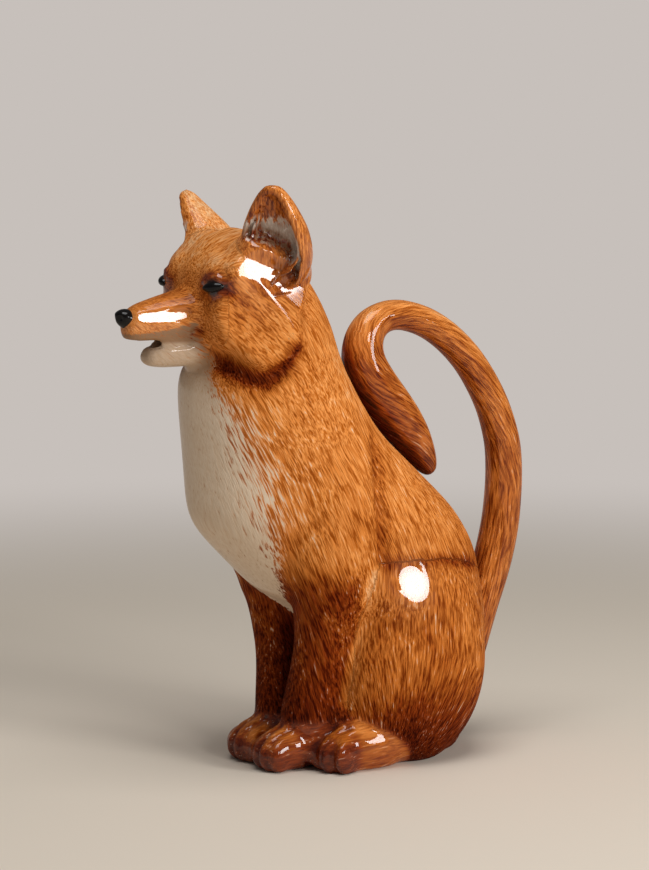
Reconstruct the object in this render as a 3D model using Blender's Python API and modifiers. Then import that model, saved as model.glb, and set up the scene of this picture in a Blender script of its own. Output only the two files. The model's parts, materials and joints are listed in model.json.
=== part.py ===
# Seated fox jug of glazed earthenware. The fox faces -Y and its left side is +X. The origin is on
# the standing plane, under the mid-plane. The tail is the handle and the open mouth is the spout.
import math

import bmesh
import bpy
import numpy as np
from mathutils import Matrix, Vector

mm = 0.001

# Clay: the cast shell, the luted joints and the grain of the modelled surface
wall = 4 * mm
skull_wall = 2 * wall
floor_thickness = 7 * mm
narrowest_hollow = 2 * wall
slip_gap = 0.3 * mm
luting_margin = 2 * mm
luting_wall = 3 * mm
clay_grain = 1.6 * mm

# Strokes of the sponge over the fused clay, how far one stroke evens it, and the faces kept
body_strokes = 14
head_strokes = 7
last_strokes = 4
sponge_share = 0.5
whole_faces = 6800
hollow_faces = 1000
joint_faces = 260
crease_angle = math.radians(50)

# Corners of a ring, and steps between two given sections
trunk_corners = 40
limb_corners = 24
tail_corners = 16
snout_corners = 24
ear_corners = 28
opening_corners = 24
body_steps = 4
head_steps = 3
tail_steps = 2
lump_steps = 4
bead_steps = 3

# Body, from the standing plane to the neck joint
body_height = 204 * mm
body_depth = 150 * mm
body_width = 108 * mm
thigh_width = 54 * mm
thigh_depth = 86 * mm
thigh_height = 108 * mm
shoulder_width = 50 * mm
shoulder_depth = 60 * mm
shoulder_height = 96 * mm
groin_width = 18 * mm
groin_depth = 20 * mm
groin_height = 40 * mm

# Head
head_width = 84 * mm
head_length = 68 * mm
head_height = 76 * mm
muzzle_length = 66 * mm
muzzle_width = 34 * mm
muzzle_height = 26 * mm
jaw_length = 58 * mm
jaw_width = 24 * mm
jaw_height = 12 * mm
eye_width = 12 * mm
eye_height = 6.6 * mm
eye_depth = 7 * mm
eye_turn = math.radians(48)
nose_width = 10 * mm
nose_length = 10 * mm
nose_height = 10.5 * mm

# Ears
ear_length = 45 * mm
ear_width = 35.5 * mm
ear_depth = 22 * mm
ear_wall = 3.6 * mm
ear_turn = math.radians(46)
right_ear_drop = 6 * mm

# Openings
mouth_width = 13 * mm
mouth_height = 6.4 * mm
filling_width = 34 * mm
filling_length = 30 * mm

# Legs and feet
leg_thickness = 28 * mm
paw_width = 26 * mm
paw_length = 36 * mm
paw_height = 24 * mm
hind_foot_width = 27 * mm
hind_foot_length = 56 * mm
hind_foot_height = 28 * mm
toe_count = 4
toe_spread = math.radians(84)

# Tail
tail_thickness = 18.7 * mm
handle_reach = 107 * mm
handle_height = 235.5 * mm

# Trunk sections from below the standing plane up into the head: height, front, back and half
# width, as shares of body_height, body_depth, body_depth and body_width
trunk_section_shares = (
    (-0.030, -0.11, 0.380, 0.22),
    (0.000, -0.12, 0.400, 0.26),
    (0.040, -0.15, 0.420, 0.33),
    (0.137, -0.165, 0.452, 0.44),
    (0.230, -0.165, 0.478, 0.48),
    (0.328, -0.175, 0.480, 0.49),
    (0.392, -0.24, 0.478, 0.49),
    (0.446, -0.36, 0.472, 0.48),
    (0.525, -0.475, 0.450, 0.475),
    (0.598, -0.570, 0.395, 0.47),
    (0.657, -0.610, 0.325, 0.46),
    (0.755, -0.623, 0.180, 0.435),
    (0.828, -0.630, 0.075, 0.415),
    (0.907, -0.640, 0.000, 0.39),
    (0.980, -0.640, -0.055, 0.36),
    (1.040, -0.600, -0.090, 0.33),
    (1.100, -0.530, -0.120, 0.31),
    (1.170, -0.460, -0.165, 0.26),
    (1.230, -0.430, -0.215, 0.20),
    (1.280, -0.430, -0.280, 0.13),
)

# Forelegs from the ankle to the shoulder: sideways, forward and up as shares of body_width,
# body_depth and body_height, then the radius as a share of leg_thickness
foreleg_shares = (
    (0.118, -0.240, 0.060, 0.46),
    (0.122, -0.231, 0.127, 0.48),
    (0.157, -0.207, 0.230, 0.50),
    (0.190, -0.196, 0.304, 0.53),
    (0.218, -0.193, 0.387, 0.61),
    (0.241, -0.193, 0.446, 0.73),
    (0.262, -0.200, 0.530, 0.82),
    (0.260, -0.220, 0.620, 0.85),
)

# Soft lumps of the body, one on each side: centre as shares of body_width, body_depth and
# body_height
thigh_centre_shares = (0.255, 0.125, 0.250)
shoulder_centre_shares = (0.260, -0.200, 0.630)
paw_centre_shares = (0.118, -0.300, 0.050)
hind_foot_centre_shares = (0.288, -0.068, 0.055)
groin_centre_shares = (0.250, -0.120, 0.100)

# Toes: how far they fan out sideways, forward and down from the foot's centre, then their width,
# length and height, all as shares of the foot's, and how much of the fan's angle each one turns
toe_fan_shares = (0.31, -0.36, -0.10)
toe_size_shares = (0.30, 0.42, 0.72)
toe_turn_share = 0.6

# Centre of the skull, in front of and above the middle of the neck joint, as shares of
# head_length and head_height
skull_place_shares = (0.97, 0.50)

# Lumps of the head: centre from the centre of the skull, then radii, all as shares of half the
# head_width, head_length and head_height. Those off the mid-plane are made on both sides.
head_lump_shares = (
    (0.000, 0.03, 0.105, 0.786, 0.94, 0.79),
    (0.475, -0.50, 0.170, 0.310, 0.42, 0.316),
    (0.420, -0.47, 0.340, 0.330, 0.40, 0.260),
    (0.580, -0.14, 0.490, 0.350, 0.42, 0.370),
    (0.620, 0.235, 0.320, 0.340, 0.50, 0.400),
    (0.520, -0.25, -0.200, 0.380, 0.66, 0.430),
    (0.520, -0.46, -0.360, 0.310, 0.40, 0.340),
    (0.600, 0.06, -0.520, 0.370, 0.62, 0.50),
)

# Muzzle sections from the skull to the nose: forward as a share of muzzle_length, half width as a
# share of muzzle_width, then bottom and top from the muzzle's middle as shares of muzzle_height
muzzle_section_shares = (
    (0.12, 0.86, -0.80, 0.52),
    (0.30, 0.68, -0.72, 0.48),
    (0.46, 0.50, -0.66, 0.42),
    (0.60, 0.375, -0.63, 0.35),
    (0.74, 0.305, -0.63, 0.26),
    (0.88, 0.25, -0.63, 0.16),
    (0.96, 0.20, -0.60, 0.06),
    (0.99, 0.13, -0.48, -0.06),
)
muzzle_middle_share = -0.08

# Lower jaw sections from the throat to its tip: forward as a share of jaw_length, half width as a
# share of jaw_width, then bottom and top from the mouth line as shares of jaw_height
jaw_section_shares = (
    (0.20, 0.66, -1.26, 0.20),
    (0.58, 0.48, -1.26, 0.05),
    (0.74, 0.40, -1.26, -0.04),
    (0.84, 0.345, -1.23, -0.30),
    (0.90, 0.30, -1.18, -0.48),
    (0.95, 0.20, -1.00, -0.62),
)
mouth_line_share = -0.50

# Ears: where the base's centre and the tip are from the centre of the skull, as shares of half the
# head_width, head_length and head_height
ear_base_shares = (0.786, 0.043, 0.368)
ear_tip_shares = (1.100, -0.225, 1.500)

# Ear sections from base to tip: height, half width and half thickness as shares of ear_length,
# ear_width and ear_depth
ear_section_shares = (
    (-0.20, 0.36, 0.46),
    (0.00, 0.47, 0.60),
    (0.20, 0.50, 0.55),
    (0.45, 0.46, 0.43),
    (0.65, 0.37, 0.31),
    (0.80, 0.28, 0.22),
    (0.90, 0.205, 0.16),
    (0.97, 0.130, 0.11),
    (1.00, 0.050, 0.06),
)

# Where the ear's bowl starts and how far up it has its full width, as shares of ear_length, and how
# far the bowl lies toward its opening, as a share of the section's half thickness
ear_floor_share = -0.14
ear_bowl_share = 0.34
ear_open_share = 0.8

# How much further than its half thickness the ear's back stands out, as a share of it
ear_back_share = 0.8

# Pouring channel: how far below the mouth line it starts, as a share of mouth_height, its length
# forward of the skull, as a share of muzzle_length, then where it starts to widen toward the
# throat and by how much, as shares of its length and its width
mouth_drop_share = 0.55
channel_reach_share = 1.1
channel_straight_share = 0.4
throat_swell_share = 1.3
channel_steps = 8

# Height where the forelegs are luted on, as a share of body_height
leg_joint_share = 0.45

# Middle of the filling hole from the centre of the skull, as shares of half the head's size
filling_shares = (0.0, 0.41, 0.0)

# The eye's centre and the nose's centre from the centre of the skull, as shares of half the
# head_width, head_length and head_height
eye_place_shares = (0.590, -0.790, 0.170)
nose_forward_share = 0.985
nose_up_share = -0.16

# Tail from its root on the rump, round the handle's bow, to the tip of the brush on the back:
# backward and up as shares of handle_reach and handle_height, then the radius as a share of
# tail_thickness
tail_shares = (
    (0.500, 0.100, 0.60),
    (0.625, 0.160, 0.58),
    (0.706, 0.251, 0.555),
    (0.749, 0.305, 0.545),
    (0.795, 0.359, 0.545),
    (0.832, 0.410, 0.545),
    (0.862, 0.465, 0.54),
    (0.879, 0.514, 0.53),
    (0.890, 0.583, 0.52),
    (0.886, 0.640, 0.513),
    (0.869, 0.684, 0.50),
    (0.821, 0.748, 0.476),
    (0.750, 0.807, 0.46),
    (0.660, 0.863, 0.443),
    (0.542, 0.913, 0.430),
    (0.420, 0.947, 0.418),
    (0.312, 0.963, 0.412),
    (0.239, 0.967, 0.417),
    (0.175, 0.962, 0.43),
    (0.112, 0.946, 0.48),
    (0.070, 0.916, 0.54),
    (0.064, 0.877, 0.60),
    (0.092, 0.840, 0.65),
    (0.140, 0.805, 0.675),
    (0.205, 0.768, 0.675),
    (0.279, 0.728, 0.635),
    (0.344, 0.690, 0.55),
    (0.396, 0.6545, 0.43),
    (0.433, 0.628, 0.30),
    (0.456, 0.610, 0.15),
)

across = Vector((1, 0, 0))
back = Vector((0, 1, 0))
up = Vector((0, 0, 1))
sides = ("left", "right")

fox_orange = (0.50, 0.165, 0.030)
fox_brown = (0.22, 0.050, 0.012)
nose_black = (0.006, 0.005, 0.005)
glaze_roughness = 0.12
bead_roughness = 0.05


def in_body(shares):
    return Vector((shares[0] * body_width, shares[1] * body_depth, shares[2] * body_height))


skull = Vector(
    (0, -skull_place_shares[0] * head_length, body_height + skull_place_shares[1] * head_height)
)
half_head = Vector((head_width, head_length, head_height)) / 2
muzzle_middle = skull.z + muzzle_middle_share * head_height
mouth_line = muzzle_middle + mouth_line_share * muzzle_height
reach = 3 * Vector((body_width, body_depth, body_height))


def in_head(shares):
    return skull + Vector(share * half for share, half in zip(shares, half_head))


def smooth_rows(rows, steps):
    # Rows between the given ones, on a smooth curve through them
    rows = np.array(rows, float)
    padded = np.vstack((2 * rows[0] - rows[1], rows, 2 * rows[-1] - rows[-2]))
    found = []
    for before, start, end, after in zip(padded, padded[1:], padded[2:], padded[3:]):
        for t in np.arange(steps) / steps:
            slope = end - before
            bend = 2 * before - 5 * start + 4 * end - after
            twist = after - before + 3 * (start - end)
            found.append(start + (slope * t + bend * t**2 + twist * t**3) / 2)
    return found + [rows[-1]]


def oval(centre, side, rise, half_width, half_height, count):
    # A ring of points round the centre, in the plane of two unit vectors
    turns = [2 * math.pi * i / count for i in range(count)]
    return [
        centre + side * (half_width * math.cos(turn)) + rise * (half_height * math.sin(turn))
        for turn in turns
    ]


def loft(rings):
    # A closed skin over rings of equal counts
    skin = bmesh.new()
    loops = []
    for ring in rings:
        corners = [skin.verts.new(point) for point in ring]
        loops.append([skin.edges.new(pair) for pair in zip(corners, corners[1:] + corners[:1])])
    for low, high in zip(loops, loops[1:]):
        bmesh.ops.bridge_loops(skin, edges=low + high)
    bmesh.ops.holes_fill(skin, edges=skin.edges, sides=0)
    bmesh.ops.recalc_face_normals(skin, faces=skin.faces)
    return skin


def ellipsoid(centre, size, turn=0.0, steps=lump_steps):
    # Turned about the vertical
    skin = bmesh.new()
    place = Matrix.Translation(centre) @ Matrix.Rotation(turn, 4, "Z")
    stretch = Matrix.Diagonal((*(Vector(size) / 2), 1))
    bmesh.ops.create_icosphere(skin, subdivisions=steps, radius=1, matrix=place @ stretch)
    return skin


def mirrored(skin):
    other = skin.copy()
    bmesh.ops.scale(other, vec=(-1, 1, 1), verts=other.verts)
    bmesh.ops.reverse_faces(other, faces=other.faces)
    return other


def both_sides(skin):
    return [skin, mirrored(skin)]


def sided(skins, side):
    return skins if side == "left" else [mirrored(skin) for skin in skins]


def limb(rows, thickness, steps, count):
    # A rounded limb along a path of points, each with its radius as a share of the thickness
    rows = smooth_rows([(*point, share * thickness) for point, share in rows], steps)
    path = [Vector(row[:3]) for row in rows]
    rings = []
    for point, before, after, row in zip(path, path[:1] + path, path[1:] + path[-1:], rows):
        run = (after - before).normalized()
        side = run.cross(across).normalized()
        rings.append(oval(point, side, run.cross(side), row[3], row[3], count))
    return loft(rings)


def trunk(inset=0.0, floor=-body_height):
    # The trunk's horizontal sections, drawn in by the inset, from the floor up
    rings = []
    for height, front, rear, half in smooth_rows(trunk_section_shares, body_steps):
        half_depth = (rear - front) / 2 * body_depth - inset
        half_width = half * body_width - inset
        if height * body_height < floor or min(half_width, half_depth) < narrowest_hollow:
            continue
        centre = Vector((0, (front + rear) / 2 * body_depth, height * body_height))
        rings.append(oval(centre, across, back, half_width, half_depth, trunk_corners))
    return loft(rings)


def foreleg(top_share):
    # From the ankle up to the given share of body_height
    rows = [(in_body(row), row[3]) for row in foreleg_shares if row[2] <= top_share]
    return limb(rows, leg_thickness, body_steps, limb_corners)


def foot(place_shares, width, length, height):
    # A rounded foot with a fan of short toes round its front
    centre = in_body(place_shares)
    size = Vector((width, length, height))
    skins = [ellipsoid(centre, size)]
    for i in range(toe_count):
        turn = toe_spread * (i / (toe_count - 1) - 1 / 2)
        fan = Vector((math.sin(turn) / math.sin(toe_spread / 2), math.cos(turn), 1))
        place = centre + Vector(toe_fan_shares) * fan * size
        toe = Vector(toe_size_shares) * size
        skins.append(ellipsoid(place, toe, toe_turn_share * turn))
    return skins


def paw():
    return foot(paw_centre_shares, paw_width, paw_length, paw_height)


def hind_foot():
    return foot(hind_foot_centre_shares, hind_foot_width, hind_foot_length, hind_foot_height)


def snout(sections, length, width, height, middle):
    # A muzzle or jaw lofted forward from the skull
    rings = []
    for forward, half, bottom, top in smooth_rows(sections, head_steps):
        centre = Vector((0, skull.y - forward * length, middle + (bottom + top) / 2 * height))
        half_height = (top - bottom) / 2 * height
        rings.append(oval(centre, across, up, half * width, half_height, snout_corners))
    return loft(rings)


def ear(side, hollow):
    # The ear's outer skin, or the bowl that opens forward and outward. The right ear sits lower.
    base = in_head(ear_base_shares)
    rise = (in_head(ear_tip_shares) - base).normalized()
    opening = Vector((math.sin(ear_turn), -math.cos(ear_turn), 0))
    opening = (opening - rise * opening.dot(rise)).normalized()
    rings = []
    for height, half_width, half_depth in smooth_rows(ear_section_shares, head_steps):
        centre = base + rise * (height * ear_length)
        half_width *= ear_width
        half_depth *= ear_depth
        if hollow:
            bowl = math.sqrt(min(1, max(0, (height - ear_floor_share) / ear_bowl_share)))
            half_width = half_width * bowl - ear_wall
            centre = centre + opening * (ear_open_share * half_depth)
            half_depth = half_depth * (1 + ear_open_share) * bowl - ear_wall
        else:
            centre = centre - opening * (ear_back_share / 2 * half_depth)
            half_depth *= 1 + ear_back_share / 2
        if min(half_width, half_depth) > slip_gap:
            ring = oval(centre, rise.cross(opening), opening, half_width, half_depth, ear_corners)
            rings.append(ring)
    skins = sided([loft(rings)], side)
    if side == "right":
        drop = Vector((0, 0, -right_ear_drop))
        bmesh.ops.translate(skins[0], vec=drop, verts=skins[0].verts)
    return skins


def make(name, skins):
    # One object that holds all the skins
    joined = bmesh.new()
    for skin in skins:
        lump = bpy.data.meshes.new(name)
        skin.to_mesh(lump)
        joined.from_mesh(lump)
        bpy.data.meshes.remove(lump)
        skin.free()
    mesh = bpy.data.meshes.new(name)
    joined.to_mesh(mesh)
    joined.free()
    thing = bpy.data.objects.new(name, mesh)
    bpy.context.scene.collection.objects.link(thing)
    return thing


def absorb(thing, other):
    # The other object's skins added to this object's, and that object removed
    both = bmesh.new()
    both.from_mesh(thing.data)
    both.from_mesh(other.data)
    both.to_mesh(thing.data)
    both.free()
    bpy.data.objects.remove(other)


def bake(thing):
    # The object's modifiers made part of its mesh
    graph = bpy.context.evaluated_depsgraph_get()
    mesh = bpy.data.meshes.new_from_object(thing.evaluated_get(graph))
    old = thing.data
    thing.modifiers.clear()
    thing.data = mesh
    bpy.data.meshes.remove(old)
    return thing


def fuse(thing, strokes):
    # Overlapping lumps of clay made one skin and sponged smooth
    remesh = thing.modifiers.new("Clay", "REMESH")
    remesh.mode = "VOXEL"
    remesh.voxel_size = clay_grain
    sponge = thing.modifiers.new("Sponge", "SMOOTH")
    sponge.factor = sponge_share
    sponge.iterations = strokes
    return bake(thing)


def thin(thing, faces):
    thing.data.calc_loop_triangles()
    decimate = thing.modifiers.new("Thin", "DECIMATE")
    decimate.ratio = min(1.0, faces / len(thing.data.loop_triangles))
    return bake(thing)


def swell(thing, growth):
    # The skin pushed outward by the growth
    push = thing.modifiers.new("Growth", "DISPLACE")
    push.mid_level = 0
    push.strength = growth
    return bake(thing)


def cut(thing, tool, operation="DIFFERENCE", solver="EXACT"):
    boolean = thing.modifiers.new(tool.name, "BOOLEAN")
    boolean.operation = operation
    boolean.solver = solver
    boolean.object = tool
    return thing


def copied(thing):
    other = thing.copy()
    other.data = thing.data.copy()
    bpy.context.scene.collection.objects.link(other)
    return other


def block(low, high):
    box = bmesh.new()
    bmesh.ops.create_cube(box, size=1)
    bmesh.ops.scale(box, vec=high - low, verts=box.verts)
    bmesh.ops.translate(box, vec=(low + high) / 2, verts=box.verts)
    return make("block", [box])


def move_to(collection, thing, name):
    thing.name = name
    thing.data.name = name
    collection.objects.link(thing)
    bpy.context.scene.collection.objects.unlink(thing)
    return thing


def cutter(thing, name):
    thing.hide_render = True
    thing.display_type = "WIRE"
    return move_to(cutters, thing, name)


def piece(thing, name, colour, roughness=glaze_roughness):
    # A finished part of the jug, in its own glaze
    glaze = bpy.data.materials.new(name + "_glaze")
    glaze.use_nodes = True
    shader = glaze.node_tree.nodes["Principled BSDF"]
    shader.inputs["Base Color"].default_value = (*colour, 1)
    shader.inputs["Roughness"].default_value = roughness
    shader.inputs["Metallic"].default_value = 0
    thing.data.materials.clear()
    thing.data.materials.append(glaze)
    thing.data.shade_smooth()
    thing.data.set_sharp_from_angle(angle=crease_angle)
    return move_to(jug, thing, name)


def body_clay():
    # Trunk, haunches, shoulders and upper forelegs
    thigh_size = (thigh_width, thigh_depth, thigh_height)
    shoulder_size = (shoulder_width, shoulder_depth, shoulder_height)
    skins = [trunk()]
    skins += both_sides(ellipsoid(in_body(thigh_centre_shares), thigh_size))
    skins += both_sides(ellipsoid(in_body(shoulder_centre_shares), shoulder_size))
    groin_size = (groin_width, groin_depth, groin_height)
    skins += both_sides(ellipsoid(in_body(groin_centre_shares), groin_size))
    skins += both_sides(foreleg(1))
    return fuse(make("body", skins), body_strokes)


def head_clay():
    # Skull, brows, temples, cheeks, muzzle and lower jaw
    skins = []
    for row in head_lump_shares:
        lump = ellipsoid(in_head(row[:3]), [share * 2 * half for share, half in zip(row[3:], half_head)])
        skins += both_sides(lump) if row[0] else [lump]
    skins.append(
        snout(muzzle_section_shares, muzzle_length, muzzle_width, muzzle_height, muzzle_middle)
    )
    skins.append(snout(jaw_section_shares, jaw_length, jaw_width, jaw_height, mouth_line))
    return fuse(make("head", skins), head_strokes)


def feet_clay(side):
    return make("feet", sided([foreleg(1)] + paw() + hind_foot(), side))


def ear_clay(side):
    bowl = make("bowl", ear(side, True))
    shell = bake(cut(make("ear", ear(side, False)), bowl))
    bpy.data.objects.remove(bowl)
    return shell


def fox_clay(standing_plane):
    # The whole fox modelled as one skin, cut flat where it stands
    fox = body_clay()
    absorb(fox, head_clay())
    for side in sides:
        absorb(fox, feet_clay(side))
        absorb(fox, ear_clay(side))
    return bake(cut(thin(fuse(fox, last_strokes), whole_faces), standing_plane))


def pouring_channel():
    # From the lips back to the throat, widening on its way
    lips = Vector(
        (0, skull.y - channel_reach_share * muzzle_length, mouth_line - mouth_drop_share * mouth_height)
    )
    throat = Vector((0, skull.y, mouth_line))
    rings = []
    for step in range(channel_steps + 1):
        share = step / channel_steps
        growth = 1 + throat_swell_share * max(0, share - channel_straight_share)
        half_width = mouth_width / 2 * growth
        half_height = mouth_height / 2 * growth
        rings.append(
            oval(lips.lerp(throat, share), across, up, half_width, half_height, opening_corners)
        )
    return loft(rings)


def filling_hole():
    middle = in_head(filling_shares)
    ends = (middle, middle + up * head_height)
    half_width = filling_width / 2
    half_length = filling_length / 2
    return loft([oval(end, across, back, half_width, half_length, opening_corners) for end in ends])


def hollow_clay():
    # The inside of the body and skull, with its two openings
    row = head_lump_shares[0]
    skull_size = 2 * Vector(share * half for share, half in zip(row[3:], half_head))
    skull_hollow = skull_size - 2 * Vector((skull_wall, wall, wall))
    skins = [trunk(wall, floor_thickness), ellipsoid(in_head(row[:3]), skull_hollow)]
    skins += [pouring_channel(), filling_hole()]
    return thin(fuse(make("hollow", skins), last_strokes), hollow_faces)


def seat(name, skins):
    # The clay that a luted piece takes up, and the same with the slip gap round it
    place = fuse(swell(fuse(make(name, skins), last_strokes), luting_margin), last_strokes)
    place = bake(cut(thin(place, joint_faces), shell_core))
    return cutter(place, name), cutter(swell(copied(place), slip_gap), name + "_socket")


for thing in list(bpy.data.objects):
    bpy.data.objects.remove(thing)
jug = bpy.data.collections.new("fox_jug")
cutters = bpy.data.collections.new("cutters")
bpy.context.scene.collection.children.link(jug)
bpy.context.scene.collection.children.link(cutters)

standing_plane = cutter(block(-reach, Vector((reach.x, reach.y, 0))), "standing_plane")
whole = fox_clay(standing_plane)

# The inside, and the clay round it that no luted piece reaches into
hollow = cutter(hollow_clay(), "inside")
shell_core = cutter(swell(copied(hollow), luting_wall), "shell_core")

# Body and head, parted at the neck
neck_low = Vector((-reach.x, -reach.y, body_height))
neck_line = cutter(block(neck_low, reach), "neck_line")
neck_gap = cutter(block(neck_low - up * slip_gap, reach), "neck_gap")
torso = cut(cut(piece(copied(whole), "torso", fox_orange), neck_gap), hollow)
head = cut(piece(copied(whole), "head", fox_orange), neck_line, "INTERSECT")
cut(head, hollow)


def luted(name, skins, colour, holder):
    # A piece of the whole fox, parted from its holder along the luted joint. The EXACT solver
    # empties some of these intersections.
    place, socket = seat(name + "_seat", skins)
    cut(holder, socket)
    return cut(piece(copied(whole), name, colour), place, "INTERSECT", "MANIFOLD"), socket


for side in sides:
    leg, leg_socket = luted(
        f"foreleg_{side}", sided([foreleg(leg_joint_share)] + paw(), side), fox_brown, torso
    )
    low = Vector((slip_gap / 2, -reach.y, -reach.z)) if side == "left" else -reach
    high = reach if side == "left" else Vector((-slip_gap / 2, reach.y, reach.z))
    cut(leg, cutter(block(low, high), f"mid_plane_{side}"), "INTERSECT")

    hind, hind_socket = luted(f"hind_foot_{side}", sided(hind_foot(), side), fox_brown, torso)
    cut(hind, leg_socket)

    luted(f"ear_{side}", ear(side, False), fox_orange, head)

    eye_centre = in_head(eye_place_shares)
    eye_size = Vector((eye_width, eye_depth, eye_height))
    eye = sided([ellipsoid(eye_centre, eye_size, eye_turn, bead_steps)], side)
    piece(make("eye", eye), f"eye_{side}", nose_black, bead_roughness)
    room = eye_size + 2 * slip_gap * Vector((1, 1, 1))
    socket = sided([ellipsoid(eye_centre, room, eye_turn, bead_steps)], side)
    cut(head, cutter(make("socket", socket), f"eye_socket_{side}"))

# Nose and tail are luted onto the finished skin
luting_face = cutter(swell(whole, slip_gap), "luting_face")
nose_rise = muzzle_middle + nose_up_share * muzzle_height
nose_centre = Vector((0, skull.y - nose_forward_share * muzzle_length, nose_rise))
nose_size = (nose_width, nose_length, nose_height)
nose = make("nose", [ellipsoid(nose_centre, nose_size, steps=bead_steps)])
cut(piece(nose, "nose", nose_black, bead_roughness), luting_face)

tail_rows = [
    (Vector((0, row[0] * handle_reach, row[1] * handle_height)), row[2]) for row in tail_shares
]
tail = make("tail", [limb(tail_rows, tail_thickness, tail_steps, tail_corners)])
cut(piece(tail, "tail_handle", fox_orange), luting_face)
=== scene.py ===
import json
import math

import bmesh
import bpy
import numpy as np
from mathutils import Matrix, Vector
from mathutils.bvhtree import BVHTree

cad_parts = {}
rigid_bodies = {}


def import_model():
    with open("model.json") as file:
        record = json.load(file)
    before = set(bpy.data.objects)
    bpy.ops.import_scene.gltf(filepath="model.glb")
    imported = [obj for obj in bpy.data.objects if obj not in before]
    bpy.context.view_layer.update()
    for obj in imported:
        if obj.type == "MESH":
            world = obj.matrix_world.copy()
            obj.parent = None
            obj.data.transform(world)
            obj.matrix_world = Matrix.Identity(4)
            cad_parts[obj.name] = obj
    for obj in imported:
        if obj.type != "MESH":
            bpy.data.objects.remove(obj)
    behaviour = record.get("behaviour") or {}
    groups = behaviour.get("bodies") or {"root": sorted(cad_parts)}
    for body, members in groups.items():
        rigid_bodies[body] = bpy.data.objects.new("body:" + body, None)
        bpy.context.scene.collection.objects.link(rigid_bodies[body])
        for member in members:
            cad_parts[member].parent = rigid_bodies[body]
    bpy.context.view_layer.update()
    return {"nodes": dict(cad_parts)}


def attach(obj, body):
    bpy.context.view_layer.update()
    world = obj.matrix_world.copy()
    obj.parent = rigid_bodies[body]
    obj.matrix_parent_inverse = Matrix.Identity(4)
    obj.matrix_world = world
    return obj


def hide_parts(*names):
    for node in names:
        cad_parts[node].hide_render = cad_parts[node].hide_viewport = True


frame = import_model()
mm = 0.001
cadNodes = frame["nodes"]
print("jug: the packed model is loaded")


def sRgb(red, green, blue):
    values = [v / 255 for v in (red, green, blue)]
    return tuple(v / 12.92 if v <= 0.04045 else ((v + 0.055) / 1.055) ** 2.4 for v in values)


# Camera, lamps and floor

photoView = {
    "azimuth": 59,  # degrees round the jug from its front, towards its left side
    "pitch": 7.3,  # degrees down
    "distance": 1.56,
    "target": (-0.0186, -0.005, 0.165),
    "lens": 124.1,
    "sensor": 36,
}

studio = {
    "backdrop": sRgb(199, 192, 187),
    "skyStrength": 0.13,
    "floor": sRgb(226, 214, 198),
    "lamps": (  # name, azimuth, elevation, distance, width, height, watts
        ("windowLamp", 116, 14, 1.25, 0.36, 0.36, 7.4),
        ("sideLamp", 92, 22, 1.45, 0.26, 0.20, 3.2),
        ("topLamp", 50, 77, 1.4, 0.8, 0.8, 11),
    ),
    "lampAim": (0, -0.02, 0.14),
    "floorRadius": 6,
    "fadeStart": 0.40,  # metres from the jug, where the floor turns into the backdrop
    "fadeEnd": 1.05,
}


def pointFrom(azimuth, elevation, distance, target):
    a, e = math.radians(azimuth), math.radians(elevation)
    way = Vector((math.sin(a) * math.cos(e), -math.cos(a) * math.cos(e), math.sin(e)))
    return Vector(target) + way * distance


def turnedTo(place, target):
    look = (Vector(target) - place).normalized()
    return look.to_track_quat("-Z", "Y").to_matrix().to_4x4()


def setUpCamera():
    camera = bpy.data.objects.new("photoCamera", bpy.data.cameras.new("photoCamera"))
    camera.data.lens = photoView["lens"]
    camera.data.sensor_width = photoView["sensor"]
    target = photoView["target"]
    place = pointFrom(photoView["azimuth"], photoView["pitch"], photoView["distance"], target)
    camera.matrix_world = Matrix.Translation(place) @ turnedTo(place, target)
    bpy.context.scene.collection.objects.link(camera)
    bpy.context.scene.camera = camera


def setUpLamps():
    aim = studio["lampAim"]
    for name, azimuth, elevation, distance, width, height, watts in studio["lamps"]:
        lamp = bpy.data.lights.new(name, "AREA")
        lamp.shape = "RECTANGLE"
        lamp.size, lamp.size_y, lamp.energy = width, height, watts
        holder = bpy.data.objects.new(name, lamp)
        place = pointFrom(azimuth, elevation, distance, aim)
        holder.matrix_world = Matrix.Translation(place) @ turnedTo(place, aim)
        bpy.context.scene.collection.objects.link(holder)


def newMaterial(name):
    material = bpy.data.materials.new(name)
    material.use_nodes = True
    material.node_tree.nodes.clear()
    return material, material.node_tree


def addNode(tree, kind, settings=None, **inputs):
    # Inputs are given by name, with spaces written as underscores, or as n0, n1 by place
    node = tree.nodes.new(kind)
    for key, value in (settings or {}).items():
        setattr(node, key, value)
    for key, value in inputs.items():
        place = int(key[1:]) if key[0] == "n" and key[1:].isdigit() else key.replace("_", " ")
        socket = node.inputs[place]
        if isinstance(value, bpy.types.NodeSocket):
            tree.links.new(value, socket)
        else:
            socket.default_value = value
    return node


def mathNode(tree, operation, first, second=0.0, third=0.0):
    settings = {"operation": operation}
    return addNode(tree, "ShaderNodeMath", settings, n0=first, n1=second, n2=third).outputs[0]


def smoothStep(tree, value, low, high):
    settings = {"interpolation_type": "SMOOTHSTEP"}
    node = addNode(tree, "ShaderNodeMapRange", settings, Value=value, From_Min=low, From_Max=high)
    return node.outputs[0]


def mixColours(tree, share, first, second):
    node = addNode(tree, "ShaderNodeMix", {"data_type": "RGBA"})
    sockets = [node.inputs[place] for place in (0, 6, 7)]  # factor and the two colours
    for socket, value in zip(sockets, (share, first, second)):
        if isinstance(value, bpy.types.NodeSocket):
            tree.links.new(value, socket)
        else:
            socket.default_value = value if isinstance(value, float) else (*value[:3], 1)
    return node.outputs[2]


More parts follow.
